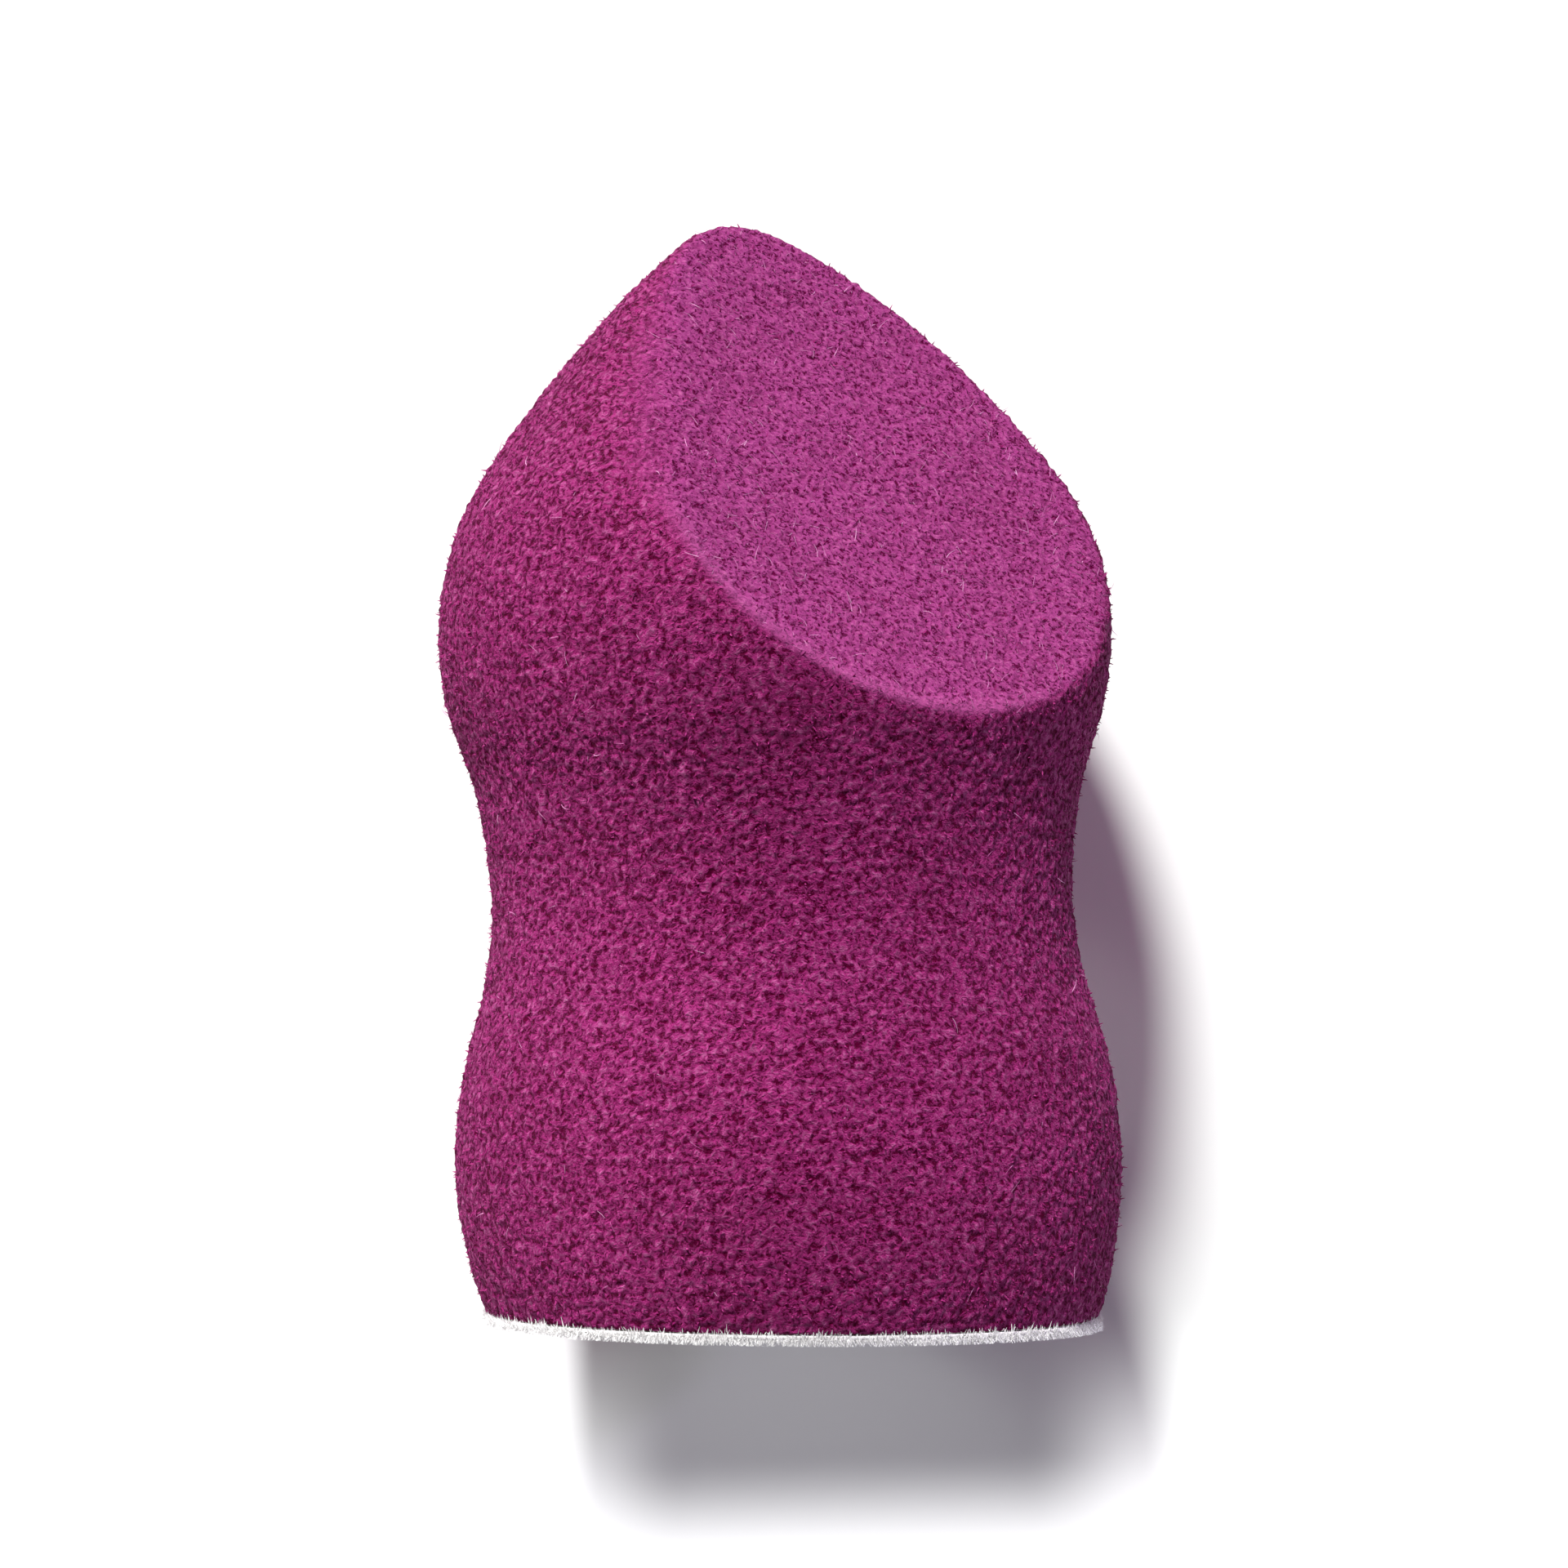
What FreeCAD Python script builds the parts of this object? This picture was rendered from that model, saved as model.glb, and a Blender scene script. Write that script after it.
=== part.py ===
import FreeCAD, Part
import math
import os
import Sketcher

# Driving sizes, in millimetres and degrees. Each rise or fall starts where the one before it ends.
SIZES = (
    ("pile_thickness", 0.55, "standing pile of the velour pad"),
    ("pile_edge_radius", 0.3, "the pile rounds off at the pad's rim"),
    ("cloth_thickness", 0.35, "ground cloth that the pile stands on"),
    ("pad_overhang", 0.2, "the pad stands out past the foam's base"),
    ("glue_thickness", 0.1, "adhesive film between cloth and foam"),
    ("glue_inset", 0.4, "the film stops short of the foam's edge"),
    ("foot_rise", 8.75, "from the foam's base up to the lower bulge"),
    ("lower_bulge_rise", 8.9, "from the lower bulge up to where its curve turns"),
    ("waist_fall", 6.85, "from that turn up to the waist"),
    ("waist_rise", 9.6, "from the waist up to where its curve turns"),
    ("upper_bulge_fall", 6.1, "from that turn up to the upper bulge"),
    ("crown_rise", 27.3, "from the upper bulge up to the uncut point"),
    ("crown_curve", 62.5, "radius of the flatter curve that ends in the point"),
    ("waist_radius", 17.3, "slimmest place, where the fingers hold the sponge"),
    ("lower_bulge_swell", 2.5, "how far the lower bulge stands out past the waist"),
    ("upper_bulge_swell", 2.75, "how far the upper bulge stands out past the waist"),
    ("base_draw_in", 1.6, "how far the base draws in from the lower bulge"),
    ("cut_below_point", 6.7, "how far below the point the slanted cut crosses the middle line"),
    ("cut_angle", 53.0, "angle between the slanted cut and a cut straight across"),
    ("cut_turn", 38.0, "way the cut faces, from straight up towards the right"),
    ("cut_rim_radius", 0.8, "soft edge round the cut"),
    ("rest_flat_depth", 0.3, "how far the slimmer bulge settles where the sponge lies"),
)

doc = FreeCAD.newDocument("makeup_sponge")
sheet = doc.addObject("Spreadsheet::Sheet", "sizes")
for row, (alias, number, note) in enumerate(SIZES, 1):
    sheet.set(f"A{row}", alias)
    sheet.set(f"B{row}", str(number))
    sheet.setAlias(f"B{row}", alias)
    sheet.set(f"C{row}", note)
doc.recompute()


class Size:
    """A size, as its number now and as the formula on the sheet that it follows."""

    def __init__(self, now, formula):
        self.now = now
        self.formula = formula

    def __add__(self, other):
        return Size(self.now + other.now, f"{self.formula} + {other.formula}")

    def __sub__(self, other):
        return Size(self.now - other.now, f"{self.formula} - ({other.formula})")

    def __neg__(self):
        return Size(-self.now, f"-({self.formula})")


def driving(alias):
    return Size(float(sheet.get(alias)), "sizes." + alias)


def smaller(one, other):
    return Size(min(one.now, other.now), f"min({one.formula}; {other.formula})")


def rise_over(run, angle):
    """How far a line at this angle rises over this run."""
    now = run.now * math.tan(math.radians(angle.now))
    return Size(now, f"({run.formula}) * tan({angle.formula} * 1 deg)")


# Heights above the pad's outer face
CLOTH_BOTTOM = driving("pile_thickness")
GLUE_BOTTOM = CLOTH_BOTTOM + driving("cloth_thickness")
FOAM_BOTTOM = GLUE_BOTTOM + driving("glue_thickness")
LOWER_BULGE = FOAM_BOTTOM + driving("foot_rise")
LOWER_TURN = LOWER_BULGE + driving("lower_bulge_rise")
WAIST = LOWER_TURN + driving("waist_fall")
UPPER_TURN = WAIST + driving("waist_rise")
UPPER_BULGE = UPPER_TURN + driving("upper_bulge_fall")
POINT = UPPER_BULGE + driving("crown_rise")
CUT = POINT - driving("cut_below_point")

# Distances from the middle line
WAIST_RADIUS = driving("waist_radius")
LOWER_RADIUS = WAIST_RADIUS + driving("lower_bulge_swell")
UPPER_RADIUS = WAIST_RADIUS + driving("upper_bulge_swell")
BASE_RADIUS = LOWER_RADIUS - driving("base_draw_in")
PAD_RADIUS = BASE_RADIUS + driving("pad_overhang")
GLUE_RADIUS = BASE_RADIUS - driving("glue_inset")
REST_HEIGHT = smaller(LOWER_RADIUS, UPPER_RADIUS) - driving("rest_flat_depth")
TOOL_REACH = LOWER_RADIUS + UPPER_RADIUS
CUT_FALL = rise_over(TOOL_REACH, driving("cut_angle"))

# How a sketch counts the points of a line or an arc, and its own origin and axes
START, END, CENTRE = range(1, 4)
MIDDLE_AXIS, LEVEL_AXIS = range(-2, 0)
ORIGIN_POINT = (LEVEL_AXIS, START)
OUT_OF_SKETCH = FreeCAD.Vector(0, 0, 1)
ALONG_SPONGE = FreeCAD.Vector(0, 1, 0)
FULL_TURN = 360
SKETCH_FACES = 90


def point(across, along):
    return FreeCAD.Vector(across, along, 0)


def new_body(label):
    body = doc.addObject("PartDesign::Body", label)
    body.Label = label
    return body


def new_sketch(body, name):
    """A sketch on the body's own level plane: across is X, along the sponge is Y."""
    plane = next(p for p in body.Origin.OriginFeatures if p.Role == "XY_Plane")
    sketch = body.newObject("Sketcher::SketchObject", name)
    sketch.AttachmentSupport = [(plane, "")]
    sketch.MapMode = "FlatFace"
    return sketch


def constrain(sketch, kind, *places):
    return sketch.addConstraint(Sketcher.Constraint(kind, *places))


def bind(sketch, name, kind, places, size):
    """Adds a named dimension and ties it to the sheet."""
    index = constrain(sketch, kind, *places, size.now)
    sketch.renameConstraint(index, name)
    sketch.setExpression(f"Constraints.{name}", size.formula)


def bind_across(sketch, name, place, size):
    bind(sketch, name + "_across", "DistanceX", (*ORIGIN_POINT, *place), size)


def bind_along(sketch, name, place, size):
    bind(sketch, name + "_along", "DistanceY", (*ORIGIN_POINT, *place), size)


def turn(body, sketch):
    """Turns a half outline about the sponge's middle line."""
    revolution = body.newObject("PartDesign::Revolution", sketch.Name + "_turned")
    revolution.Profile = sketch
    revolution.ReferenceAxis = (sketch, ["V_Axis"])
    revolution.Angle = FULL_TURN
    doc.recompute()
    return revolution


def cut_away(body, sketch, both_ways):
    """Cuts a closed outline right through the body, and stops if that takes nothing away."""
    before = body.Shape.Volume
    pocket = body.newObject("PartDesign::Pocket", sketch.Name + "_taken")
    pocket.Profile = sketch
    pocket.Type = "ThroughAll"
    pocket.Midplane = both_ways
    doc.recompute()
    if pocket.Shape.Volume >= before:
        raise RuntimeError(f"{pocket.Name} takes nothing away")
    return pocket


def round_edges(body, feature, name, edges, radius):
    """Rounds the given edges of a feature."""
    numbered = enumerate(feature.Shape.Edges, 1)
    names = [f"Edge{i}" for i, edge in numbered if any(edge.isSame(other) for other in edges)]
    fillet = body.newObject("PartDesign::Fillet", name)
    fillet.Base = (feature, names)
    fillet.setExpression("Radius", radius.formula)
    doc.recompute()


def arc(centre, radius, from_angle, to_angle):
    circle = Part.Circle(centre, OUT_OF_SKETCH, radius)
    return Part.ArcOfCircle(circle, from_angle, to_angle)


def lines(corners):
    """A closed row of straight sides."""
    after = corners[1:] + corners[:1]
    return [Part.LineSegment(a, b) for a, b in zip(corners, after)]


def close_up(sketch, sides):
    for side, following in zip(sides, sides[1:] + sides[:1]):
        constrain(sketch, "Coincident", side, END, following, START)


def s_curve(low_along, high_along, difference):
    """Sum of the radii of two tangent arcs that start and end along the sponge, and their turn."""
    length = high_along - low_along
    radii = (length ** 2 + difference ** 2) / (2 * difference)
    return radii, math.asin(length / radii)


def crown_arc(bulge_centre, bulge_curve, crown_curve, tip):
    """The arc that runs on from the upper bulge's arc and meets the middle line at the point."""
    between = crown_curve - bulge_curve
    rise = tip.y - bulge_centre.y
    reach = math.hypot(bulge_centre.x, rise)
    lean = (reach ** 2 + between ** 2 - crown_curve ** 2) / (2 * between)
    begin = math.acos(lean / reach) - math.atan2(rise, bulge_centre.x)
    centre = bulge_centre - point(between * math.cos(begin), between * math.sin(begin))
    return arc(centre, crown_curve, begin, math.atan2(tip.y - centre.y, -centre.x)), begin


def draw_foam_outline(sketch):
    """Half outline of the foam: tangent arcs from its base over both bulges to the point."""
    base, bottom = BASE_RADIUS.now, FOAM_BOTTOM.now
    low_r, low_y = LOWER_RADIUS.now, LOWER_BULGE.now
    waist_r, waist_y = WAIST_RADIUS.now, WAIST.now
    up_r, up_y = UPPER_RADIUS.now, UPPER_BULGE.now
    tip = point(0, POINT.now)
    crown_curve = driving("crown_curve")

    foot_curve, foot_turn = s_curve(bottom, low_y, low_r - base)
    low_radii, low_turn = s_curve(low_y, waist_y, low_r - waist_r)
    up_radii, up_turn = s_curve(waist_y, up_y, up_r - waist_r)
    low_curve = (LOWER_TURN.now - low_y) / math.sin(low_turn)
    up_curve = (up_y - UPPER_TURN.now) / math.sin(up_turn)
    under_waist, over_waist = low_radii - low_curve, up_radii - up_curve
    up_centre = point(up_r - up_curve, up_y)
    crown, crown_turn = crown_arc(up_centre, up_curve, crown_curve.now, tip)

    outline = [
        arc(point(low_r - foot_curve, low_y), foot_curve, -foot_turn, 0),
        arc(point(low_r - low_curve, low_y), low_curve, 0, low_turn),
        arc(point(waist_r + under_waist, waist_y), under_waist, math.pi, math.pi + low_turn),
        arc(point(waist_r + over_waist, waist_y), over_waist, math.pi - up_turn, math.pi),
        arc(up_centre, up_curve, -up_turn, 0),
        arc(up_centre, up_curve, 0, crown_turn),
        crown,
        Part.LineSegment(tip, point(0, bottom)),
        Part.LineSegment(point(0, bottom), point(base, bottom)),
    ]
    numbers = sketch.addGeometry(outline, False)
    foot, lower, waist_below, waist_above, upper_below, upper_above, point_arc, middle, floor = numbers

    constrain(sketch, "Tangent", foot, END, lower, START)
    constrain(sketch, "Tangent", lower, END, waist_below, END)
    constrain(sketch, "Tangent", waist_below, START, waist_above, END)
    constrain(sketch, "Tangent", waist_above, START, upper_below, START)
    constrain(sketch, "Tangent", upper_below, END, upper_above, START)
    constrain(sketch, "Tangent", upper_above, END, point_arc, START)
    constrain(sketch, "Coincident", point_arc, END, middle, START)
    constrain(sketch, "Coincident", middle, END, floor, START)
    constrain(sketch, "Coincident", floor, END, foot, START)
    constrain(sketch, "PointOnObject", middle, START, MIDDLE_AXIS)
    constrain(sketch, "Vertical", middle)
    constrain(sketch, "Horizontal", floor)
    constrain(sketch, "Horizontal", foot, END, foot, CENTRE)
    constrain(sketch, "Horizontal", waist_below, START, waist_below, CENTRE)
    constrain(sketch, "Horizontal", upper_below, END, upper_below, CENTRE)
    constrain(sketch, "Equal", upper_below, upper_above)

    for name, place, across, along in (
        ("base", (floor, END), BASE_RADIUS, FOAM_BOTTOM),
        ("lower_bulge", (foot, END), LOWER_RADIUS, LOWER_BULGE),
        ("waist", (waist_below, START), WAIST_RADIUS, WAIST),
        ("upper_bulge", (upper_below, END), UPPER_RADIUS, UPPER_BULGE),
    ):
        bind_across(sketch, name, place, across)
        bind_along(sketch, name, place, along)
    bind_along(sketch, "lower_turn", (lower, END), LOWER_TURN)
    bind_along(sketch, "upper_turn", (waist_above, START), UPPER_TURN)
    bind_along(sketch, "point", (point_arc, END), POINT)
    bind(sketch, "crown_curve", "Radius", (point_arc,), crown_curve)


def draw_slanted_cut(sketch):
    """Triangle that takes the point off: its long side is the cut, seen edge on."""
    high, low = CUT + CUT_FALL, CUT - CUT_FALL
    high_end = point(-TOOL_REACH.now, high.now)
    low_end = point(TOOL_REACH.now, low.now)
    corner = point(TOOL_REACH.now, high.now)
    slant, outside, above = sketch.addGeometry(lines([high_end, low_end, corner]), False)
    close_up(sketch, [slant, outside, above])
    constrain(sketch, "Vertical", outside)
    constrain(sketch, "Horizontal", above)
    bind_across(sketch, "high_end", (slant, START), -TOOL_REACH)
    bind_along(sketch, "high_end", (slant, START), high)
    bind_across(sketch, "low_end", (slant, END), TOOL_REACH)
    bind_along(sketch, "low_end", (slant, END), low)


def draw_rectangle(sketch, right, bottom, top, left=None):
    """Rectangle that starts on the middle line, or at left, and at bottom, or at the pad's face."""
    x0 = left.now if left else 0
    y0 = bottom.now if bottom else 0
    corners = [point(x0, y0), point(right.now, y0), point(right.now, top.now), point(x0, top.now)]
    lower_side, right_side, upper_side, left_side = sides = list(sketch.addGeometry(lines(corners), False))
    close_up(sketch, sides)
    for side in (lower_side, upper_side):
        constrain(sketch, "Horizontal", side)
    for side in (left_side, right_side):
        constrain(sketch, "Vertical", side)
    if left:
        bind_across(sketch, "left", (lower_side, START), left)
    else:
        constrain(sketch, "PointOnObject", lower_side, START, MIDDLE_AXIS)
    if bottom:
        bind_along(sketch, "bottom", (lower_side, START), bottom)
    else:
        constrain(sketch, "PointOnObject", lower_side, START, LEVEL_AXIS)
    bind_across(sketch, "right", (right_side, END), right)
    bind_along(sketch, "top", (right_side, END), top)


def make_foam():
    """The foam: turned outline, slanted cut with a soft rim, and flats where the sponge lies."""
    body = new_body("foam_body")
    outline = new_sketch(body, "foam_outline")
    draw_foam_outline(outline)
    turn(body, outline)

    slant = new_sketch(body, "slanted_cut")
    cut_turn = driving("cut_turn")
    facing = FreeCAD.Rotation(ALONG_SPONGE, cut_turn.now - SKETCH_FACES)
    slant.AttachmentOffset = FreeCAD.Placement(FreeCAD.Vector(), facing)
    slant.setExpression("AttachmentOffset.Rotation.Angle", f"{cut_turn.formula} - {SKETCH_FACES}")
    draw_slanted_cut(slant)
    cut = cut_away(body, slant, True)
    flat_faces = [face for face in cut.Shape.Faces if isinstance(face.Surface, Part.Plane)]
    cut_face = max(flat_faces, key=lambda face: face.CenterOfMass.y)
    round_edges(body, cut, "soft_rim", cut_face.Edges, driving("cut_rim_radius"))

    floor = new_sketch(body, "resting_flats")
    floor.setExpression("AttachmentOffset.Base.z", (-REST_HEIGHT).formula)
    draw_rectangle(floor, TOOL_REACH, FOAM_BOTTOM, POINT, left=-TOOL_REACH)
    cut_away(body, floor, False)
    return body


def make_disc(label, radius, bottom, top):
    """One round layer of the pad, and the feature that makes it."""
    body = new_body(label)
    sketch = new_sketch(body, label + "_outline")
    draw_rectangle(sketch, radius, bottom, top)
    return body, turn(body, sketch)


def make_pile():
    """The pile, rounded off at its outer rim."""
    body, disc = make_disc("velour_pile", PAD_RADIUS, None, CLOTH_BOTTOM)
    outer_rim = min(disc.Shape.Edges, key=lambda edge: edge.CenterOfMass.y)
    round_edges(body, disc, "pile_rim", [outer_rim], driving("pile_edge_radius"))
    return body


foam = make_foam()
glue, _ = make_disc("glue_film", GLUE_RADIUS, GLUE_BOTTOM, FOAM_BOTTOM)
cloth, _ = make_disc("velour_cloth", PAD_RADIUS, CLOTH_BOTTOM, GLUE_BOTTOM)
pile = make_pile()
pieces = [foam, glue, cloth, pile]

# The sponge lies on its side: its flats at height zero, the middle of its length over the origin
half_length = foam.Shape.optimalBoundingBox().YMax / 2
for piece in pieces:
    piece.Placement.Base = FreeCAD.Vector(0, -half_length, 0)
    piece.setExpression("Placement.Base.z", REST_HEIGHT.formula)
doc.recompute()

for thing in doc.Objects:
    if "Invalid" in thing.State or "Error" in thing.State:
        raise RuntimeError(f"{thing.Label} failed: {thing.State}")
for piece in pieces:
    if piece.Shape.isNull() or not piece.Shape.isValid():
        raise RuntimeError(f"{piece.Label} has no sound shape")

os.makedirs("parts", exist_ok=True)
for piece in pieces:
    piece.Shape.exportStep(f"parts/{piece.Label}.step")
    print(piece.Label, "volume", round(piece.Shape.Volume, 2), "solids", len(piece.Shape.Solids))
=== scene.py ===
# Looks of a makeup sponge: a foam body with one slanted cut, and a white velour pad glued to its base

import math

import bpy
import numpy as np
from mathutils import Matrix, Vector, noise


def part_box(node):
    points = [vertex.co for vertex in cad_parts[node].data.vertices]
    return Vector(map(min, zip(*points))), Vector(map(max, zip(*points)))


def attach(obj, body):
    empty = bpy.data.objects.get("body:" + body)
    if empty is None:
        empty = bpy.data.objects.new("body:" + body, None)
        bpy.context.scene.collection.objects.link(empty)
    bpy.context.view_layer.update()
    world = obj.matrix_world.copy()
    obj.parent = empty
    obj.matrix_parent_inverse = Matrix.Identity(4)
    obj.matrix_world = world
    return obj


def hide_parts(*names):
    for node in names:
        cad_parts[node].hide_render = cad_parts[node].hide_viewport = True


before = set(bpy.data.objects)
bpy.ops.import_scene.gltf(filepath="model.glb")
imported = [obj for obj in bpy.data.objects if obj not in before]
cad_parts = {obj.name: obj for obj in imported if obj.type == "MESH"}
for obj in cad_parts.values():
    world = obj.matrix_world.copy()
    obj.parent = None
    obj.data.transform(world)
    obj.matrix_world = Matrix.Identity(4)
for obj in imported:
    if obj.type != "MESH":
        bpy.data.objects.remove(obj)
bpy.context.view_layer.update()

MM = 0.001

# Places read from the frame. The sponge lies on its side: heights run along its axis from the pad's face
pile_low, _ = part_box("velour_pile")
cloth_low, cloth_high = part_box("velour_cloth")
foam_low, foam_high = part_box("foam_body")
PAD_FACE = pile_low.y
PAD_RADIUS = (cloth_high.z - cloth_low.z) / 2
PILE_DEPTH = cloth_low.y - PAD_FACE
CLOTH_TOP = cloth_high.y - PAD_FACE
FOAM_BASE = foam_low.y - PAD_FACE
AXIS_RISE = (cloth_low.z + cloth_high.z) / 2

# The foam body's outline, as heights above the pad's face and radii from the axis
BASE_RADIUS = 18.2 * MM
LOWER_BULGE_HEIGHT = 9.75 * MM
LOWER_BULGE_RADIUS = 19.8 * MM
LOWER_TURN_HEIGHT = 18.65 * MM
WAIST_HEIGHT = 25.5 * MM
WAIST_RADIUS = 17.3 * MM
UPPER_TURN_HEIGHT = 35.1 * MM
UPPER_BULGE_HEIGHT = 41.2 * MM
UPPER_BULGE_RADIUS = (foam_high.x - foam_low.x) / 2
SHOULDER_LEAN = math.radians(33.3)
POINT_HEIGHT = 68.5 * MM

# The slanted cut: where it crosses the axis, how steep it is and how far it is turned to the right
CUT_HEIGHT = 61.8 * MM
CUT_SLOPE = math.radians(53)
CUT_TURN = math.radians(38)
CUT_CENTRE = np.array((0, PAD_FACE + CUT_HEIGHT, AXIS_RISE))
CUT_NORMAL = np.array((
    math.sin(CUT_TURN) * math.sin(CUT_SLOPE),
    math.cos(CUT_SLOPE),
    math.cos(CUT_TURN) * math.sin(CUT_SLOPE),
))

# How softly the cut's rim is rolled over, and between which places on the cut it changes
CRISP_RIM = 0.4 * MM
SOFT_RIM = 3.4 * MM
TIP_RIM = 0.6 * MM
SOFT_RIM_LEFT = (3 * MM, 12 * MM)
SOFT_RIM_UP = (-13 * MM, -6 * MM)
TIP_RIM_UP = (-4 * MM, 2 * MM)

# The low lip along the cut's lower rim: its rise in millimetres, and between which places it comes up
LIP_RISE = 0.14
LIP_FROM_SIDE = (-1.3 * MM, -0.2 * MM)
LIP_DOWN = (0, 6 * MM)
LIP_LEFT = (-9 * MM, 0)

# The foam's foot has a slightly rounded edge and presses the pad thinner. Both fall a little to the right
BASE_EDGE = 0.25 * MM
FOOT_DROP = 0.34 * MM
BASE_SLANT = math.tan(math.radians(1.9))

# The foam's mesh: how wide its faces are, how often its points are drawn to the smooth shape, the step that
# slopes are measured over, how wide the change from skin to cut is, and how squarely a glued face looks at
# the pad
FOAM_STEP = 0.17 * MM
SHAPING_ROUNDS = 4
NUDGE = 0.02 * MM
CUT_EDGE = 0.22 * MM
SOFT_EDGE_SHARE = 0.7
FACES_PAD = (0.6, 0.9)

# The grain of the foam's mesh: how often it comes in a millimetre, and how far it stands out in millimetres
WAVES_PER_MM = 0.16
WAVE_RISE = 0.07
LUMPS_PER_MM = 1.4
LUMP_RISE = 0.2
LUMP_SINK = 0.04
FINE_PER_MM = 2.9
FINE_RISE = 0.11
CUT_WAVE_SHARE = 0.4
CUT_LUMP_SHARE = 0.2
CUT_FINE_RISE = 0.05
PITS_PER_MM = 2.6
PIT_SHIFT = Vector((17, 5, 9))
PIT_LEVEL = 0.12
PIT_EDGE = 0.25
PIT_DEPTH = 0.12
GRAIN_RANGE = 0.3

# The finer grain of the foam's material
SKIN_LUMP = 0.38 * MM
CUT_LUMP = 0.28 * MM
HOLLOW_LEVEL = 0.40
SKIN_HOLLOW_EDGE = 0.10
CUT_HOLLOW_EDGE = 0.06
HOLLOW_DEPTH = 0.3
# The lumps' range that counts as ridges, which take the painted highlight
RIDGE_RANGE = (0.5, 0.7)
SKIN_BUMP = 0.9 * MM
CUT_BUMP = 0.3 * MM


def smooth_step(value, low, high):
    """0 below low, 1 above high, and a smooth rise between them."""
    share = np.clip((value - low) / (high - low), 0, 1)
    return share * share * (3 - 2 * share)


def smooth_max(first, second, width):
    """The larger of two distances, with the crease between them rounded over a width."""
    overlap = np.maximum(width - np.abs(first - second), 0)
    return np.maximum(first, second) + overlap ** 2 / (4 * width)


def outline_arcs():
    """The body's outline as arcs: where each starts, its centre's height and radius, and its own radius.
    An arc's own radius is less than 0 where the outline is hollow."""
    draw_in = LOWER_BULGE_RADIUS - BASE_RADIUS
    foot_rise = LOWER_BULGE_HEIGHT - FOAM_BASE
    foot = (foot_rise ** 2 + draw_in ** 2) / (2 * draw_in)
    lower_rises = (LOWER_TURN_HEIGHT - LOWER_BULGE_HEIGHT, WAIST_HEIGHT - LOWER_TURN_HEIGHT)
    upper_rises = (UPPER_TURN_HEIGHT - WAIST_HEIGHT, UPPER_BULGE_HEIGHT - UPPER_TURN_HEIGHT)
    lower_turn = 2 * math.atan((LOWER_BULGE_RADIUS - WAIST_RADIUS) / sum(lower_rises))
    upper_turn = 2 * math.atan((UPPER_BULGE_RADIUS - WAIST_RADIUS) / sum(upper_rises))
    lower, under_waist = (rise / math.sin(lower_turn) for rise in lower_rises)
    over_waist, upper = (rise / math.sin(upper_turn) for rise in upper_rises)
    shoulder_height = UPPER_BULGE_HEIGHT + upper * math.sin(SHOULDER_LEAN)
    shoulder_radius = UPPER_BULGE_RADIUS - upper * (1 - math.cos(SHOULDER_LEAN))
    crown_rise = POINT_HEIGHT - shoulder_height
    off_line = shoulder_radius * math.cos(SHOULDER_LEAN) - crown_rise * math.sin(SHOULDER_LEAN)
    crown = (crown_rise ** 2 + shoulder_radius ** 2) / (2 * off_line)
    crown_height = shoulder_height - crown * math.sin(SHOULDER_LEAN)
    crown_radius = shoulder_radius - crown * math.cos(SHOULDER_LEAN)
    return (
        (-math.inf, LOWER_BULGE_HEIGHT, LOWER_BULGE_RADIUS - foot, foot),
        (LOWER_BULGE_HEIGHT, LOWER_BULGE_HEIGHT, LOWER_BULGE_RADIUS - lower, lower),
        (LOWER_TURN_HEIGHT, WAIST_HEIGHT, WAIST_RADIUS + under_waist, -under_waist),
        (WAIST_HEIGHT, WAIST_HEIGHT, WAIST_RADIUS + over_waist, -over_waist),
        (UPPER_TURN_HEIGHT, UPPER_BULGE_HEIGHT, UPPER_BULGE_RADIUS - upper, upper),
        (shoulder_height, crown_height, crown_radius, crown),
    )


OUTLINE_ARCS = outline_arcs()


def body_radius(height):
    """Radius of the uncut body at heights above the pad's face."""
    radius = np.zeros_like(height)
    for start, centre_height, centre_radius, arc_radius in OUTLINE_ARCS:
        bulge = np.sqrt(np.maximum(arc_radius ** 2 - (height - centre_height) ** 2, 0))
        radius = np.where(height >= start, centre_radius + math.copysign(1, arc_radius) * bulge, radius)
    return radius


def cut_places(points):
    """How far points lie down the slope of the cut and across it, measured square to the axis."""
    rise = points[:, 2] - AXIS_RISE
    down = points[:, 0] * math.sin(CUT_TURN) + rise * math.cos(CUT_TURN)
    across = points[:, 0] * math.cos(CUT_TURN) - rise * math.sin(CUT_TURN)
    return down, across


def rim_width(points):
    """How wide the cut's rim is rolled: soft at its left, softer than crisp at the tip, crisp lower down."""
    down, across = cut_places(points)
    left = smooth_step(-across, *SOFT_RIM_LEFT) * smooth_step(-down, *SOFT_RIM_UP)
    tip = smooth_step(-down, *TIP_RIM_UP)
    width = CRISP_RIM + (TIP_RIM - CRISP_RIM) * tip
    return width + (SOFT_RIM - width) * left


def off_side(points):
    """How far points lie outside the uncut body's side."""
    height = points[:, 1] - PAD_FACE
    slope = (body_radius(height + NUDGE) - body_radius(height - NUDGE)) / (2 * NUDGE)
    from_axis = np.hypot(points[:, 0], points[:, 2] - AXIS_RISE)
    return (from_axis - body_radius(height)) / np.sqrt(1 + slope ** 2)


def off_cut(points):
    """How far points lie outside the plane of the cut."""
    return (points - CUT_CENTRE) @ CUT_NORMAL


def off_foam(points):
    """How far points lie outside the foam's smooth shape: its side, its cut, its base and where it rests."""
    shape = smooth_max(off_side(points), off_cut(points), rim_width(points))
    shape = smooth_max(shape, PAD_FACE + FOAM_BASE - points[:, 1], BASE_EDGE)
    return np.maximum(shape, -points[:, 2])


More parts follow.
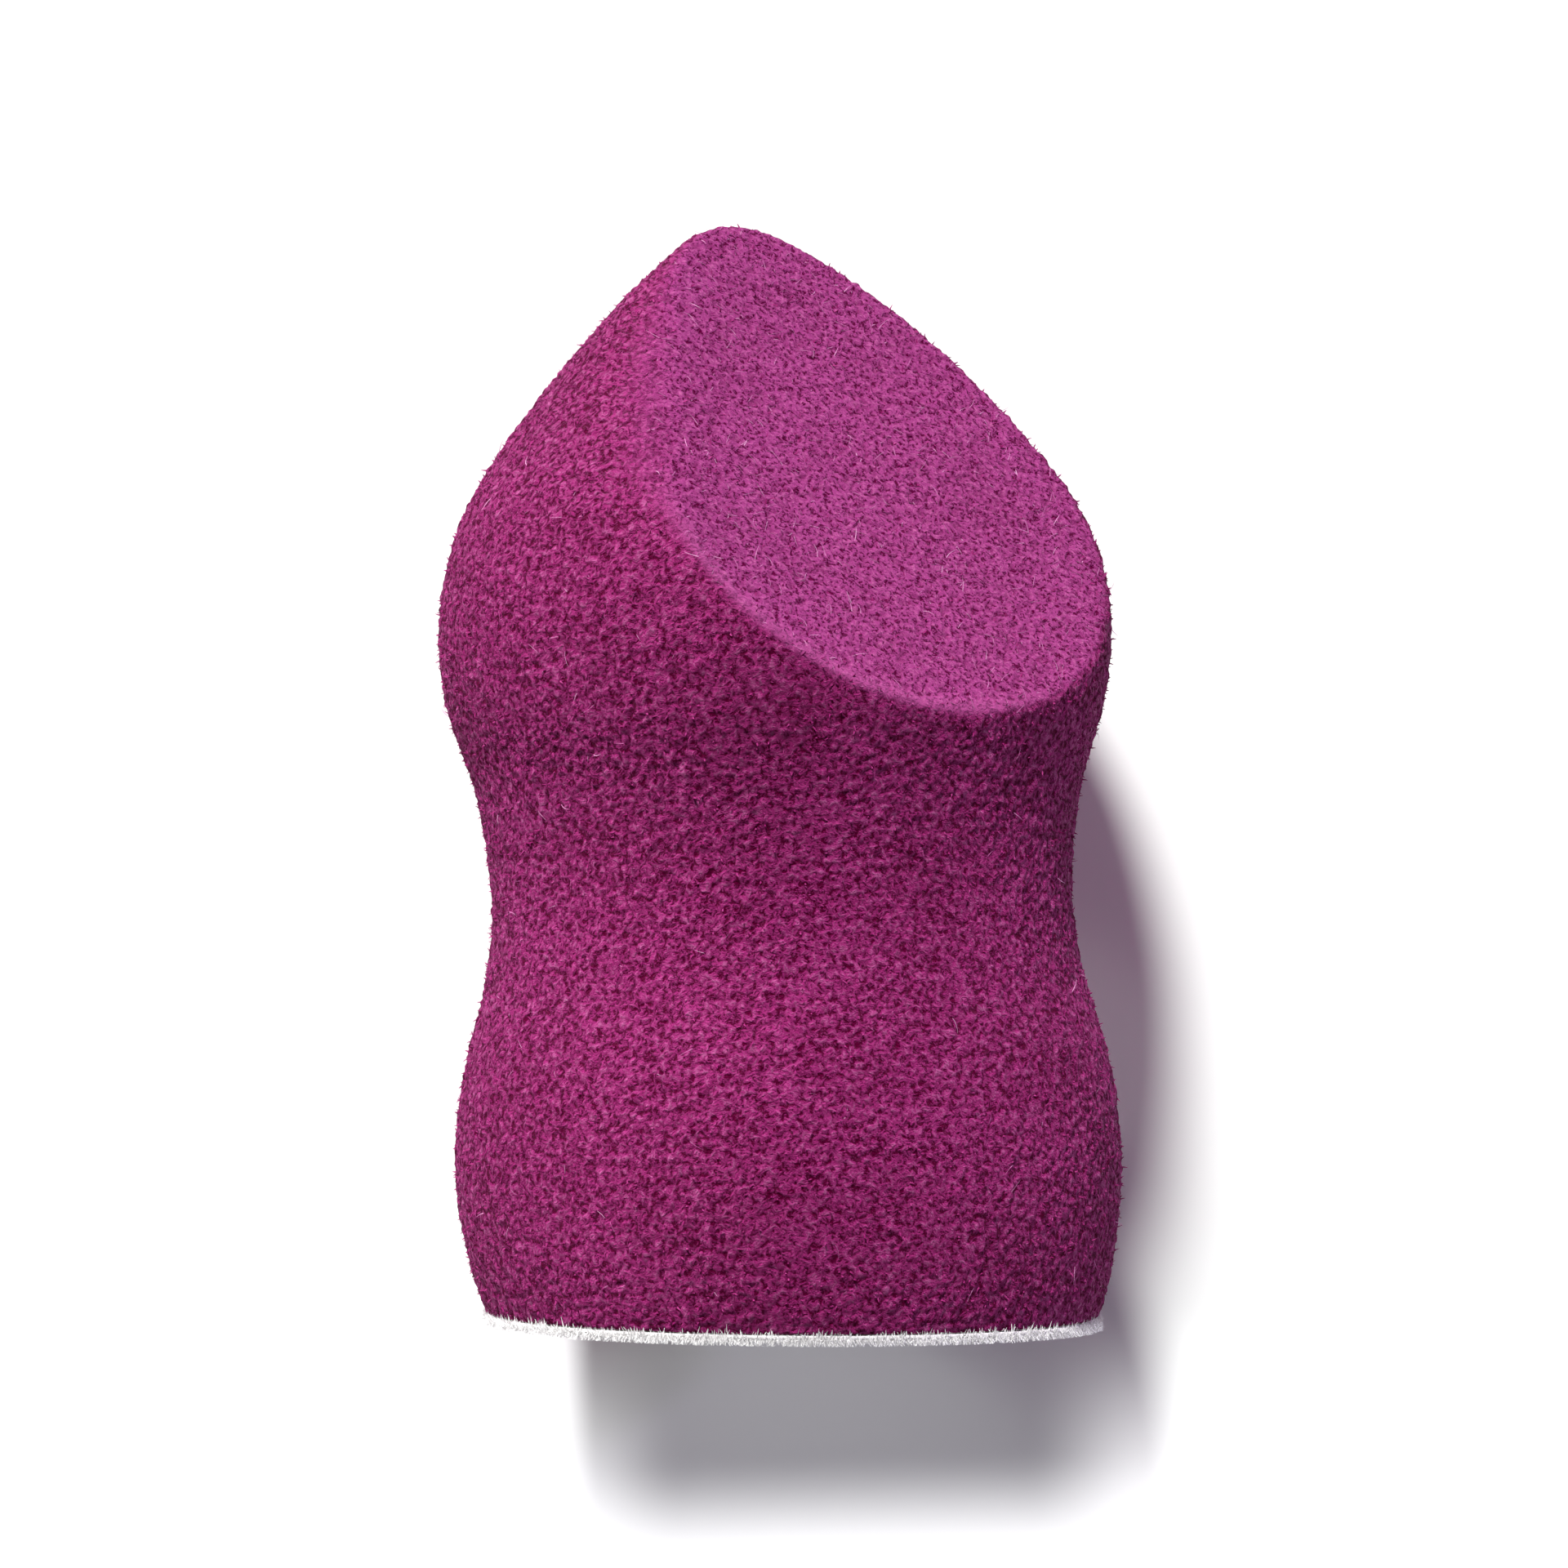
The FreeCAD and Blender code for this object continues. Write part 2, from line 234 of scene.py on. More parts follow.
def off_foam_slope(points):
    """The way off_foam rises at points: there, the outward direction of the smooth foam."""
    slope = np.zeros_like(points)
    for axis in range(3):
        step = np.zeros(3)
        step[axis] = NUDGE
        slope[:, axis] = (off_foam(points + step) - off_foam(points - step)) / (2 * NUDGE)
    return slope / np.maximum(np.linalg.norm(slope, axis=1, keepdims=True), 1e-9)


def settled(points):
    """Points of the pad and of the foam's foot, moved along the axis: pressed together and slanted."""
    height = points[:, 1] - PAD_FACE
    share = 1 - smooth_step(height, FOAM_BASE, LOWER_BULGE_HEIGHT)
    press = FOOT_DROP * np.clip(height / FOAM_BASE, 0, 1)
    moved = points.copy()
    moved[:, 1] -= (press + BASE_SLANT * points[:, 0]) * share
    return moved


def read_points(mesh):
    flat = np.zeros(len(mesh.vertices) * 3, np.float32)
    mesh.vertices.foreach_get("co", flat)
    return flat.reshape(-1, 3).astype(float)


def read_faces(mesh, what):
    """The center or the normal of every face."""
    flat = np.zeros(len(mesh.polygons) * 3, np.float32)
    mesh.polygons.foreach_get(what, flat)
    return flat.reshape(-1, 3).astype(float)


def write_points(mesh, points):
    mesh.vertices.foreach_set("co", points.astype(np.float32).ravel())
    mesh.update()


def keep_values(mesh, name, values):
    """Keeps one number a point on a mesh, for its material to read."""
    mesh.attributes.new(name, "FLOAT", "POINT").data.foreach_set("value", values.astype(np.float32))


def show(name, mesh, material):
    """A piece of the sponge that rides on its one body."""
    piece = bpy.data.objects.new(name, mesh)
    bpy.context.scene.collection.objects.link(piece)
    mesh.materials.clear()
    mesh.materials.append(material)
    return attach(piece, "root")


# Node helpers

def feed(tree, node, inputs):
    """Sets a node's inputs. Each is a value, or the output that feeds it."""
    for name, value in inputs.items():
        if isinstance(value, bpy.types.NodeSocket):
            tree.links.new(value, node.inputs[name])
        else:
            node.inputs[name].default_value = value


def add(tree, kind, inputs=None, **settings):
    """A node with its settings and its inputs."""
    made = tree.nodes.new(kind)
    for name, value in settings.items():
        setattr(made, name, value)
    feed(tree, made, inputs or {})
    return made


def maths(tree, operation, first, second):
    return add(tree, "ShaderNodeMath", {0: first, 1: second}, operation=operation).outputs[0]


def ramp(tree, value, low, high, at_low=0.0, at_high=1.0):
    """at_low up to low, at_high from high on, and a smooth change between them."""
    limits = {"Value": value, "From Min": low, "From Max": high, "To Min": at_low, "To Max": at_high}
    return add(tree, "ShaderNodeMapRange", limits, interpolation_type="SMOOTHSTEP").outputs[0]


def fall(tree, value, low, high):
    """1 up to low and 0 from high on."""
    return ramp(tree, value, low, high, 1.0, 0.0)


def by_share(tree, share, at_none, at_all):
    """at_none where a share is 0, and at_all where it is 1."""
    return ramp(tree, share, 0.0, 1.0, at_none, at_all)


def mixed(tree, share, first, second):
    return add(tree, "ShaderNodeMix", {0: share, 6: first, 7: second}, data_type="RGBA").outputs[2]


def mixed_value(tree, share, first, second):
    return add(tree, "ShaderNodeMix", {0: share, 2: first, 3: second}, data_type="FLOAT").outputs[0]


def new_group(name, inputs, outputs):
    """An empty shader node group with float inputs and their defaults, and float outputs."""
    group = bpy.data.node_groups.new(name, "ShaderNodeTree")
    for label, default in inputs.items():
        socket = group.interface.new_socket(label, in_out="INPUT", socket_type="NodeSocketFloat")
        socket.default_value = default
    for label in outputs:
        group.interface.new_socket(label, in_out="OUTPUT", socket_type="NodeSocketFloat")
    return group, group.nodes.new("NodeGroupInput").outputs, group.nodes.new("NodeGroupOutput").inputs


def foam_grain_group():
    """Foam seen close: crumpled lumps, and hollows where they drop below a level."""
    inputs = {"Lump Size": SKIN_LUMP, "Hollow Level": HOLLOW_LEVEL, "Hollow Edge": SKIN_HOLLOW_EDGE}
    group, given, made = new_group("foam grain", inputs, ("Height", "Hollows", "Ridges"))
    place = group.nodes.new("ShaderNodeTexCoord").outputs["Object"]
    density = maths(group, "DIVIDE", 1.0, given["Lump Size"])
    look = {"Vector": place, "Scale": density, "Detail": 4.0, "Roughness": 0.7, "Distortion": 0.4}
    lumps = add(group, "ShaderNodeTexNoise", look).outputs["Fac"]
    shallow = maths(group, "ADD", given["Hollow Level"], given["Hollow Edge"])
    hollows = fall(group, lumps, given["Hollow Level"], shallow)
    ridges = ramp(group, lumps, *RIDGE_RANGE)
    height = maths(group, "SUBTRACT", lumps, maths(group, "MULTIPLY", hollows, HOLLOW_DEPTH))
    group.links.new(height, made["Height"])
    group.links.new(hollows, made["Hollows"])
    group.links.new(ridges, made["Ridges"])
    return group


def uneven_group():
    """Soft cloudy unevenness from 0 to 1, for colours that aren't quite the same all over."""
    group, given, made = new_group("uneven colour", {"Patch Size": 5 * MM}, ("Share",))
    place = group.nodes.new("ShaderNodeTexCoord").outputs["Object"]
    density = maths(group, "DIVIDE", 1.0, given["Patch Size"])
    look = {"Vector": place, "Scale": density, "Detail": 4.0, "Roughness": 0.55}
    clouds = add(group, "ShaderNodeTexNoise", look).outputs["Fac"]
    group.links.new(ramp(group, clouds, 0.3, 0.7), made["Share"])
    return group


FOAM_GRAIN = foam_grain_group()
UNEVEN = uneven_group()


def place_group(tree, group, **values):
    made = tree.nodes.new("ShaderNodeGroup")
    made.node_tree = group
    for name, value in values.items():
        made.inputs[name.replace("_", " ")].default_value = value
    return made.outputs


def new_material(name):
    """An empty material: its node tree, and the shader that its output shows."""
    material = bpy.data.materials.new(name)
    material.use_nodes = True
    tree = material.node_tree
    tree.nodes.clear()
    shader = tree.nodes.new("ShaderNodeBsdfPrincipled")
    output = tree.nodes.new("ShaderNodeOutputMaterial")
    tree.links.new(shader.outputs[0], output.inputs["Surface"])
    return material, tree, shader


# The foam's colours, and how much of them its clouds, its lip and its low places take
SKIN_COLOUR = (0.485, 0.031, 0.23, 1)
CUT_COLOUR = (0.46, 0.058, 0.275, 1)
# Painted highlight: the paler colour that the grain's ridges and part of the lip take
RIDGE_HIGHLIGHT_COLOUR = (0.61, 0.14, 0.375, 1)
# Painted shade: the dark colour that the grain's hollows and low places take; the random clouds take a little
# of it too
SKIN_SHADE_AND_CLOUD_COLOUR = (0.145, 0.0, 0.04, 1)
CUT_SHADE_AND_CLOUD_COLOUR = (0.145, 0.0, 0.05, 1)
FIBRE_COLOUR = (0.80, 0.40, 0.65, 1)
CRUMB_COLOUR = (0.36, 0.016, 0.165, 1)
CRUMB_TIP_COLOUR = (0.54, 0.065, 0.29, 1)
SHEEN_COLOUR = (1.0, 0.62, 0.9, 1)
CLOUD_SHARE = 0.12
# How much of the painted hollow shade the lip keeps
LIP_HOLLOW_SHADE_SHARE = 0.4
# How much painted highlight the lip takes
LIP_HIGHLIGHT_SHARE = 0.3
# How much painted shade the low places of the mesh's grain take, and over which grain heights
LOW_PLACE_SHADE_SHARE = 0.35
LOW_PLACE_SHADE_RANGE = (0.1, 0.6)


def foam_material():
    material, tree, shader = new_material("plum foam")
    cut = add(tree, "ShaderNodeAttribute", attribute_name="cut_share").outputs["Fac"]
    lip = add(tree, "ShaderNodeAttribute", attribute_name="lip_share").outputs["Fac"]
    swell = add(tree, "ShaderNodeAttribute", attribute_name="grain_height").outputs["Fac"]
    skin = place_group(tree, FOAM_GRAIN, Lump_Size=SKIN_LUMP, Hollow_Edge=SKIN_HOLLOW_EDGE)
    face = place_group(tree, FOAM_GRAIN, Lump_Size=CUT_LUMP, Hollow_Edge=CUT_HOLLOW_EDGE)
    height = mixed_value(tree, cut, skin["Height"], face["Height"])
    ridges = mixed_value(tree, cut, skin["Ridges"], face["Ridges"])
    open_hollows = mixed_value(tree, cut, skin["Hollows"], face["Hollows"])
    # The hollows' share of painted shade, less of it on the lip
    hollows = maths(tree, "MULTIPLY", open_hollows, by_share(tree, lip, 1.0, LIP_HOLLOW_SHADE_SHARE))
    patches = place_group(tree, UNEVEN, Patch_Size=6 * MM)["Share"]
    plain = mixed(tree, cut, SKIN_COLOUR, CUT_COLOUR)
    # The painted shade colour for hollows and low places, which the random clouds also take a little of
    shade_and_cloud = mixed(tree, cut, SKIN_SHADE_AND_CLOUD_COLOUR, CUT_SHADE_AND_CLOUD_COLOUR)
    clouded = mixed(tree, by_share(tree, patches, 0.0, CLOUD_SHARE), plain, shade_and_cloud)
    # Painted highlight: the ridges, and partly the lip, turn paler towards the highlight colour
    pale = maths(tree, "MAXIMUM", ridges, by_share(tree, lip, 0.0, LIP_HIGHLIGHT_SHARE))
    lit = mixed(tree, pale, clouded, RIDGE_HIGHLIGHT_COLOUR)
    # Painted shade in the low places of the mesh's grain
    shaded = mixed(tree, ramp(tree, swell, *LOW_PLACE_SHADE_RANGE, LOW_PLACE_SHADE_SHARE, 0.0), lit, shade_and_cloud)
    colour = mixed(tree, hollows, shaded, shade_and_cloud)
    depth = mixed_value(tree, cut, SKIN_BUMP, CUT_BUMP)
    bump = add(tree, "ShaderNodeBump", {"Height": height, "Distance": depth}).outputs[0]
    feed(tree, shader, {
        "Base Color": colour,
        "Roughness": ramp(tree, height, 0.2, 0.7, at_low=0.8, at_high=0.5),
        "Diffuse Roughness": 1.0,
        "Normal": bump,
        "Specular IOR Level": 0.02,
        "Sheen Weight": 0.06,
        "Sheen Roughness": 0.3,
        "Sheen Tint": SHEEN_COLOUR,
    })
    return material


def crumb_material():
    material, tree, shader = new_material("plum foam crumb")
    patches = place_group(tree, UNEVEN, Patch_Size=0.8 * MM)["Share"]
    feed(tree, shader, {
        "Base Color": mixed(tree, patches, CRUMB_COLOUR, CRUMB_TIP_COLOUR),
        "Roughness": by_share(tree, patches, 0.8, 0.6),
        "Diffuse Roughness": 1.0,
        "Specular IOR Level": 0.05,
    })
    return material


def fibre_material():
    material, tree, shader = new_material("loose foam fibre")
    patches = place_group(tree, UNEVEN, Patch_Size=1.5 * MM)["Share"]
    feed(tree, shader, {
        "Base Color": mixed(tree, patches, CUT_COLOUR, FIBRE_COLOUR),
        "Roughness": by_share(tree, patches, 0.75, 0.5),
        "Specular IOR Level": 0.15,
    })
    return material


# The pad's colours, and how fine its knit and the glue's bubbles are
PILE_COLOUR = (0.96, 0.955, 0.945, 1)
# Painted shade: the strands darken towards their roots and the bed takes this colour all over; the pile's
# uneven patches take a little of it too
PILE_ROOT_SHADE_AND_PATCH_COLOUR = (0.90, 0.89, 0.875, 1)
CLOTH_COLOUR = (0.92, 0.91, 0.895, 1)
CLOTH_SHADE_COLOUR = (0.82, 0.805, 0.79, 1)
GLUE_COLOUR = (0.78, 0.74, 0.62, 1)
GLUE_SHADE_COLOUR = (0.66, 0.61, 0.48, 1)
KNIT_ROW_SCALE = 1200.0
KNIT_COLUMN_SCALE = 900.0
KNIT_BUMP = 0.05 * MM
BUBBLE_SCALE = 900.0
BUBBLE_BUMP = 0.03 * MM


def pile_material():
    material, tree, shader = new_material("white velour pile")
    along = add(tree, "ShaderNodeAttribute", attribute_name="strand_share").outputs["Fac"]
    patches = place_group(tree, UNEVEN, Patch_Size=2.5 * MM)["Share"]
    # Painted shade towards the strands' roots
    strand = mixed(tree, ramp(tree, along, 0.0, 0.8), PILE_ROOT_SHADE_AND_PATCH_COLOUR, PILE_COLOUR)
    feed(tree, shader, {
        "Base Color": mixed(tree, by_share(tree, patches, 0.0, 0.25), strand, PILE_ROOT_SHADE_AND_PATCH_COLOUR),
        "Roughness": by_share(tree, patches, 0.75, 0.9),
        "Specular IOR Level": 0.3,
        "Sheen Weight": 0.3,
        "Sheen Roughness": 0.4,
    })
    return material


def cloth_material():
    """The pad's ground cloth: fine knitted rows."""
    material, tree, shader = new_material("white ground cloth")
    place = tree.nodes.new("ShaderNodeTexCoord").outputs["Object"]
    row_look = {"Vector": place, "Scale": KNIT_ROW_SCALE, "Distortion": 1.5}
    column_look = {"Vector": place, "Scale": KNIT_COLUMN_SCALE, "Distortion": 2.0}
    rows = add(tree, "ShaderNodeTexWave", row_look, bands_direction="X").outputs["Fac"]
    columns = add(tree, "ShaderNodeTexWave", column_look, bands_direction="Z").outputs["Fac"]
    knit = maths(tree, "MULTIPLY", rows, columns)
    patches = place_group(tree, UNEVEN, Patch_Size=3 * MM)["Share"]
    woven = mixed(tree, knit, CLOTH_SHADE_COLOUR, CLOTH_COLOUR)
    bump = add(tree, "ShaderNodeBump", {"Height": knit, "Distance": KNIT_BUMP}).outputs[0]
    feed(tree, shader, {
        "Base Color": mixed(tree, by_share(tree, patches, 0.0, 0.3), woven, CLOTH_SHADE_COLOUR),
        "Roughness": by_share(tree, knit, 0.95, 0.8),
        "Normal": bump,
        "Specular IOR Level": 0.3,
        "Sheen Weight": 0.2,
    })
    return material


def glue_material():
    """The film between cloth and foam: yellowish glue with small bubbles."""
    material, tree, shader = new_material("dried glue")
    place = tree.nodes.new("ShaderNodeTexCoord").outputs["Object"]
    bubble_look = {"Vector": place, "Scale": BUBBLE_SCALE}
    bubbles = add(tree, "ShaderNodeTexVoronoi", bubble_look).outputs["Distance"]
    patches = place_group(tree, UNEVEN, Patch_Size=4 * MM)["Share"]
    bump = add(tree, "ShaderNodeBump", {"Height": bubbles, "Distance": BUBBLE_BUMP}).outputs[0]
    feed(tree, shader, {
        "Base Color": mixed(tree, patches, GLUE_COLOUR, GLUE_SHADE_COLOUR),
        "Roughness": ramp(tree, bubbles, 0.1, 0.6, at_low=0.55, at_high=0.3),
        "Normal": bump,
    })
    return material


# The foam body

def even_foam_mesh():
    """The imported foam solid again, in small even faces, with every point on the smooth shape."""
    blank = bpy.data.objects.new("foam_blank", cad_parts["foam_body"].data.copy())
    bpy.context.scene.collection.objects.link(blank)
    remesh = blank.modifiers.new("even faces", "REMESH")
    remesh.mode = "VOXEL"
    remesh.voxel_size = FOAM_STEP
    mesh = bpy.data.meshes.new_from_object(blank.evaluated_get(bpy.context.evaluated_depsgraph_get()))
    bpy.data.meshes.remove(blank.data)
    mesh.name = "foam_skin"
    points = read_points(mesh)
    for _ in range(SHAPING_ROUNDS):
        points -= off_foam(points)[:, None] * off_foam_slope(points)
    write_points(mesh, points)
    return mesh


def grain_height(place, cut):
    """How far the foam stands out at a place, both in millimetres: slow waves, round lumps with creases
    between them, and a fine roughness. The cut is flatter, with small steep pits."""
    waves = WAVE_RISE * noise.noise(place * WAVES_PER_MM)
    lumps = LUMP_RISE * abs(noise.noise(place * LUMPS_PER_MM)) - LUMP_SINK
    fine = noise.noise(place * FINE_PER_MM)
    side = waves + lumps + FINE_RISE * fine
    pit = (noise.noise(place * PITS_PER_MM + PIT_SHIFT) - PIT_LEVEL) / PIT_EDGE
    pit = min(1.0, max(0.0, pit))
    face = CUT_WAVE_SHARE * waves + CUT_LUMP_SHARE * lumps + CUT_FINE_RISE * fine - PIT_DEPTH * pit
    return side + (face - side) * cut


def roughen(mesh):
    """Moves the smooth foam's points in and out by its grain, and keeps what its material reads."""
    points = read_points(mesh)
    outward = off_foam_slope(points)
    blend = CUT_EDGE + SOFT_EDGE_SHARE * np.maximum(rim_width(points) - TIP_RIM, 0)
    cut = smooth_step((off_cut(points) - off_side(points)) / blend, -1, 1)
    near_base = points[:, 1] < PAD_FACE + FOAM_BASE + BASE_EDGE
    glued = smooth_step(-outward[:, 1], *FACES_PAD) * near_base
    down, across = cut_places(points)
    lip = cut * smooth_step(off_side(points), *LIP_FROM_SIDE) * smooth_step(down, *LIP_DOWN)
    lip *= smooth_step(-across, *LIP_LEFT)
    places = zip(points / MM, cut)
    grain = np.array([grain_height(Vector(place), share) for place, share in places]) + LIP_RISE * lip
    points += (grain * MM * (1 - glued))[:, None] * outward
    points[:, 2] = np.maximum(points[:, 2], 0)
    write_points(mesh, settled(points))
    keep_values(mesh, "cut_share", cut)
    keep_values(mesh, "lip_share", lip)
    keep_values(mesh, "grain_height", np.clip(0.5 + grain / GRAIN_RANGE, 0, 1))


# The foam's flat map: its width in turns round the upper bulge, the share of it that the side takes, where
# the side starts, the middles of the cut and of the base, and the way that the base's faces look
MAP_WIDTH = 1.03
MAP_SIDE_SHARE = 0.97
MAP_FOOT = 0.02
MAP_CUT_MIDDLE = (0.25, 0.77)
MAP_BASE_MIDDLE = (0.75, 0.77)
MAP_BASE_FACING = -0.7


def lay_out_foam(mesh):
    """A flat map of the foam for pictures of its surface: the side unrolled from a seam underneath, and above
    that the cut and the glued base, all at nearly one scale."""
    points = read_points(mesh)
    middles = read_faces(mesh, "center")
    corners = np.zeros(len(mesh.loops), np.int32)
    counts = np.zeros(len(mesh.polygons), np.int32)
    mesh.loops.foreach_get("vertex_index", corners)
    mesh.polygons.foreach_get("loop_total", counts)
    face_of = np.repeat(np.arange(len(counts)), counts)
    at_base = (read_faces(mesh, "normal")[:, 1] < MAP_BASE_FACING)[face_of]
    at_cut = (off_cut(middles) > off_side(middles))[face_of]
    place = points[corners]
    middle = middles[face_of]
    turn = np.arctan2(place[:, 0], place[:, 2] - AXIS_RISE)
    middle_turn = np.arctan2(middle[:, 0], middle[:, 2] - AXIS_RISE)
    turn = middle_turn + (turn - middle_turn + math.pi) % (2 * math.pi) - math.pi
    unit = 2 * math.pi * UPPER_BULGE_RADIUS * MAP_WIDTH
    side_across = 0.5 + MAP_SIDE_SHARE * turn / (2 * math.pi)
    side = np.stack([side_across, MAP_FOOT + (place[:, 1] - PAD_FACE) / unit], axis=1)
    down, across = cut_places(place)
    face = np.stack([across, down / math.cos(CUT_SLOPE)], axis=1) / unit + MAP_CUT_MIDDLE
    base = np.stack([place[:, 0], place[:, 2] - AXIS_RISE], axis=1) / unit + MAP_BASE_MIDDLE
    flat = np.where(at_base[:, None], base, np.where(at_cut[:, None], face, side))
    mesh.uv_layers.new(name="OFBake").data.foreach_set("uv", flat.astype(np.float32).ravel())


def foam_body():
    mesh = even_foam_mesh()
    lay_out_foam(mesh)
    roughen(mesh)
    mesh.polygons.foreach_set("use_smooth", np.ones(len(mesh.polygons), bool))
    foam = show("foam_sponge", mesh, foam_material())
    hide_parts("foam_body")
    return foam


# Strands: the foam's crumbs and loose fibres, and the velour's pile. Their sizes are in millimetres

STRAND_TAPER = 0.75
STRAND_TAPER_POWER = 1.5


def strand_mesh(name, roots, rises, bends, widths, rings, sides=3):
    """Many tapered strands as one mesh. Each leaves its root along its rise, and its bend takes it aside."""
    share = np.linspace(0, 1, rings)[None, :, None]
    spines = roots[:, None] + share * rises[:, None] + share ** 2 * bends[:, None]
    along = rises / np.linalg.norm(rises, axis=1, keepdims=True)
    helper = np.where(np.abs(along[:, :1]) < 0.8, np.array((1.0, 0, 0)), np.array((0, 0, 1.0)))
    across = np.cross(along, helper)
    across /= np.linalg.norm(across, axis=1, keepdims=True)
    beside = np.cross(along, across)
    turn = (2 * math.pi * np.arange(sides) / sides)[None, None, :, None]
    round_it = np.cos(turn) * across[:, None, None] + np.sin(turn) * beside[:, None, None]
    taper = (1 - STRAND_TAPER * share ** STRAND_TAPER_POWER)[..., None]
    points = spines[:, :, None] + widths[:, None, None, None] / 2 * taper * round_it
    first = np.arange(len(roots)) * rings * sides
    ring = np.arange(sides)
    nexts = np.roll(ring, -1)
    walls = [first[:, None] + np.array([low, high, high + sides, low + sides])
             for step in range(rings - 1)
             for low, high in zip(ring + step * sides, nexts + step * sides)]
    ends = [first[:, None] + ring[::-1], first[:, None] + ring + (rings - 1) * sides]
    faces = [face for group in walls + ends for face in group.tolist()]
    mesh = bpy.data.meshes.new(name)
    mesh.from_pydata(points.reshape(-1, 3).tolist(), [], faces)
    shares = np.broadcast_to(share[..., None], points.shape[:3] + (1,))
    keep_values(mesh, "strand_share", shares.ravel())
    return mesh


def scattered(mesh, count, weights, draw):
    """Random places on a mesh's faces, by weight: points, and which way is out."""
    chosen = draw.choice(len(weights), count, p=weights / weights.sum())
    return read_faces(mesh, "center")[chosen], read_faces(mesh, "normal")[chosen]


FOAM_CRUMBS = 9000
CRUMB_LENGTHS = (0.14, 0.32)
CRUMB_WIDTHS = (0.09, 0.16)
CRUMB_ROOT = 0.04
CRUMB_SPREAD = 0.5
CRUMB_BEND = 0.2


def foam_crumbs(mesh, weights, draw):
    """Broken cell walls that stand up all over the foam and roughen its outline."""
    roots, out = scattered(mesh, FOAM_CRUMBS, weights, draw)
    rises = out + CRUMB_SPREAD * draw.normal(size=roots.shape)
    lengths = draw.uniform(*CRUMB_LENGTHS, (FOAM_CRUMBS, 1)) * MM
    rises *= lengths / np.linalg.norm(rises, axis=1, keepdims=True)
    bends = CRUMB_BEND * np.linalg.norm(rises, axis=1, keepdims=True) * draw.normal(size=roots.shape)
    widths = draw.uniform(*CRUMB_WIDTHS, FOAM_CRUMBS) * MM
    solid = strand_mesh("foam_crumbs", roots - CRUMB_ROOT * MM * out, rises, bends, widths, rings=3)
    crumbs = show("foam_crumbs", solid, crumb_material())


# The loose fibres, and how far above the pad and the floor they and the crumbs start
CUT_FIBRES = 800
SKIN_FIBRES = 400
FIBRE_SEED = 11
FIBRE_LENGTHS = (0.3, 1.05)
FIBRE_LENGTH_POWER = 1.3
FIBRE_WIDTHS = (0.03, 0.055)
FIBRE_ROOT = 0.03
FIBRE_CURL = (-0.5, 0.5)
FIBRE_LIFT = (0.3, 0.7)
FIBRE_DROOP = (0.1, 0.45)
BARE_ABOVE_PAD = 0.4
BARE_ABOVE_FLOOR = 1.0


def foam_fibres(foam):
    """Loose cell walls that stand out of the foam: crumbs, and curled fibres, more of them on the cut."""
    mesh = foam.data
    draw = np.random.default_rng(FIBRE_SEED)
    areas = np.zeros(len(mesh.polygons), np.float32)
    mesh.polygons.foreach_get("area", areas)
    centres = read_faces(mesh, "center")
    on_cut = off_cut(centres) > off_side(centres)
    off_pad = centres[:, 1] > PAD_FACE + FOAM_BASE + BARE_ABOVE_PAD * MM
    bare = off_pad & (centres[:, 2] > BARE_ABOVE_FLOOR * MM)
    foam_crumbs(mesh, np.where(bare, areas, 0).astype(float), draw)
    roots, rises, bends, widths = [], [], [], []
    for count, where in ((CUT_FIBRES, on_cut & bare), (SKIN_FIBRES, ~on_cut & bare)):
        root, out = scattered(mesh, count, np.where(where, areas, 0).astype(float), draw)
        aside = np.cross(out, draw.normal(size=(count, 3)))
        aside /= np.linalg.norm(aside, axis=1, keepdims=True)
        curl = np.cross(out, aside) * draw.uniform(*FIBRE_CURL, (count, 1))
        length = draw.uniform(*FIBRE_LENGTHS, (count, 1)) ** FIBRE_LENGTH_POWER * MM
        roots.append(root - out * FIBRE_ROOT * MM)
        rises.append(length * (aside + out * draw.uniform(*FIBRE_LIFT, (count, 1))))
        bends.append(length * (curl - out * draw.uniform(*FIBRE_DROOP, (count, 1))))
        widths.append(draw.uniform(*FIBRE_WIDTHS, count) * MM)
    parts = [np.concatenate(part) for part in (roots, rises, bends, widths)]
    fibres = show("foam_fibres", strand_mesh("foam_fibres", *parts, rings=5), fibre_material())


# The velour pad and the glue. A disc's rings are shares of its radius

CLOTH_SEED = 5
CLOTH_EDGE = 0.08 * MM
CLOTH_INSET = 0.1 * MM
CLOTH_WOBBLE = 0.006
CLOTH_RINGS = (0.25, 0.5, 0.75, 0.92)
GLUE_RINGS = (0.3, 0.6, 0.85, 1.0)
EDGE_WAVES = 24
FEWEST_WAVES_ROUND = 3


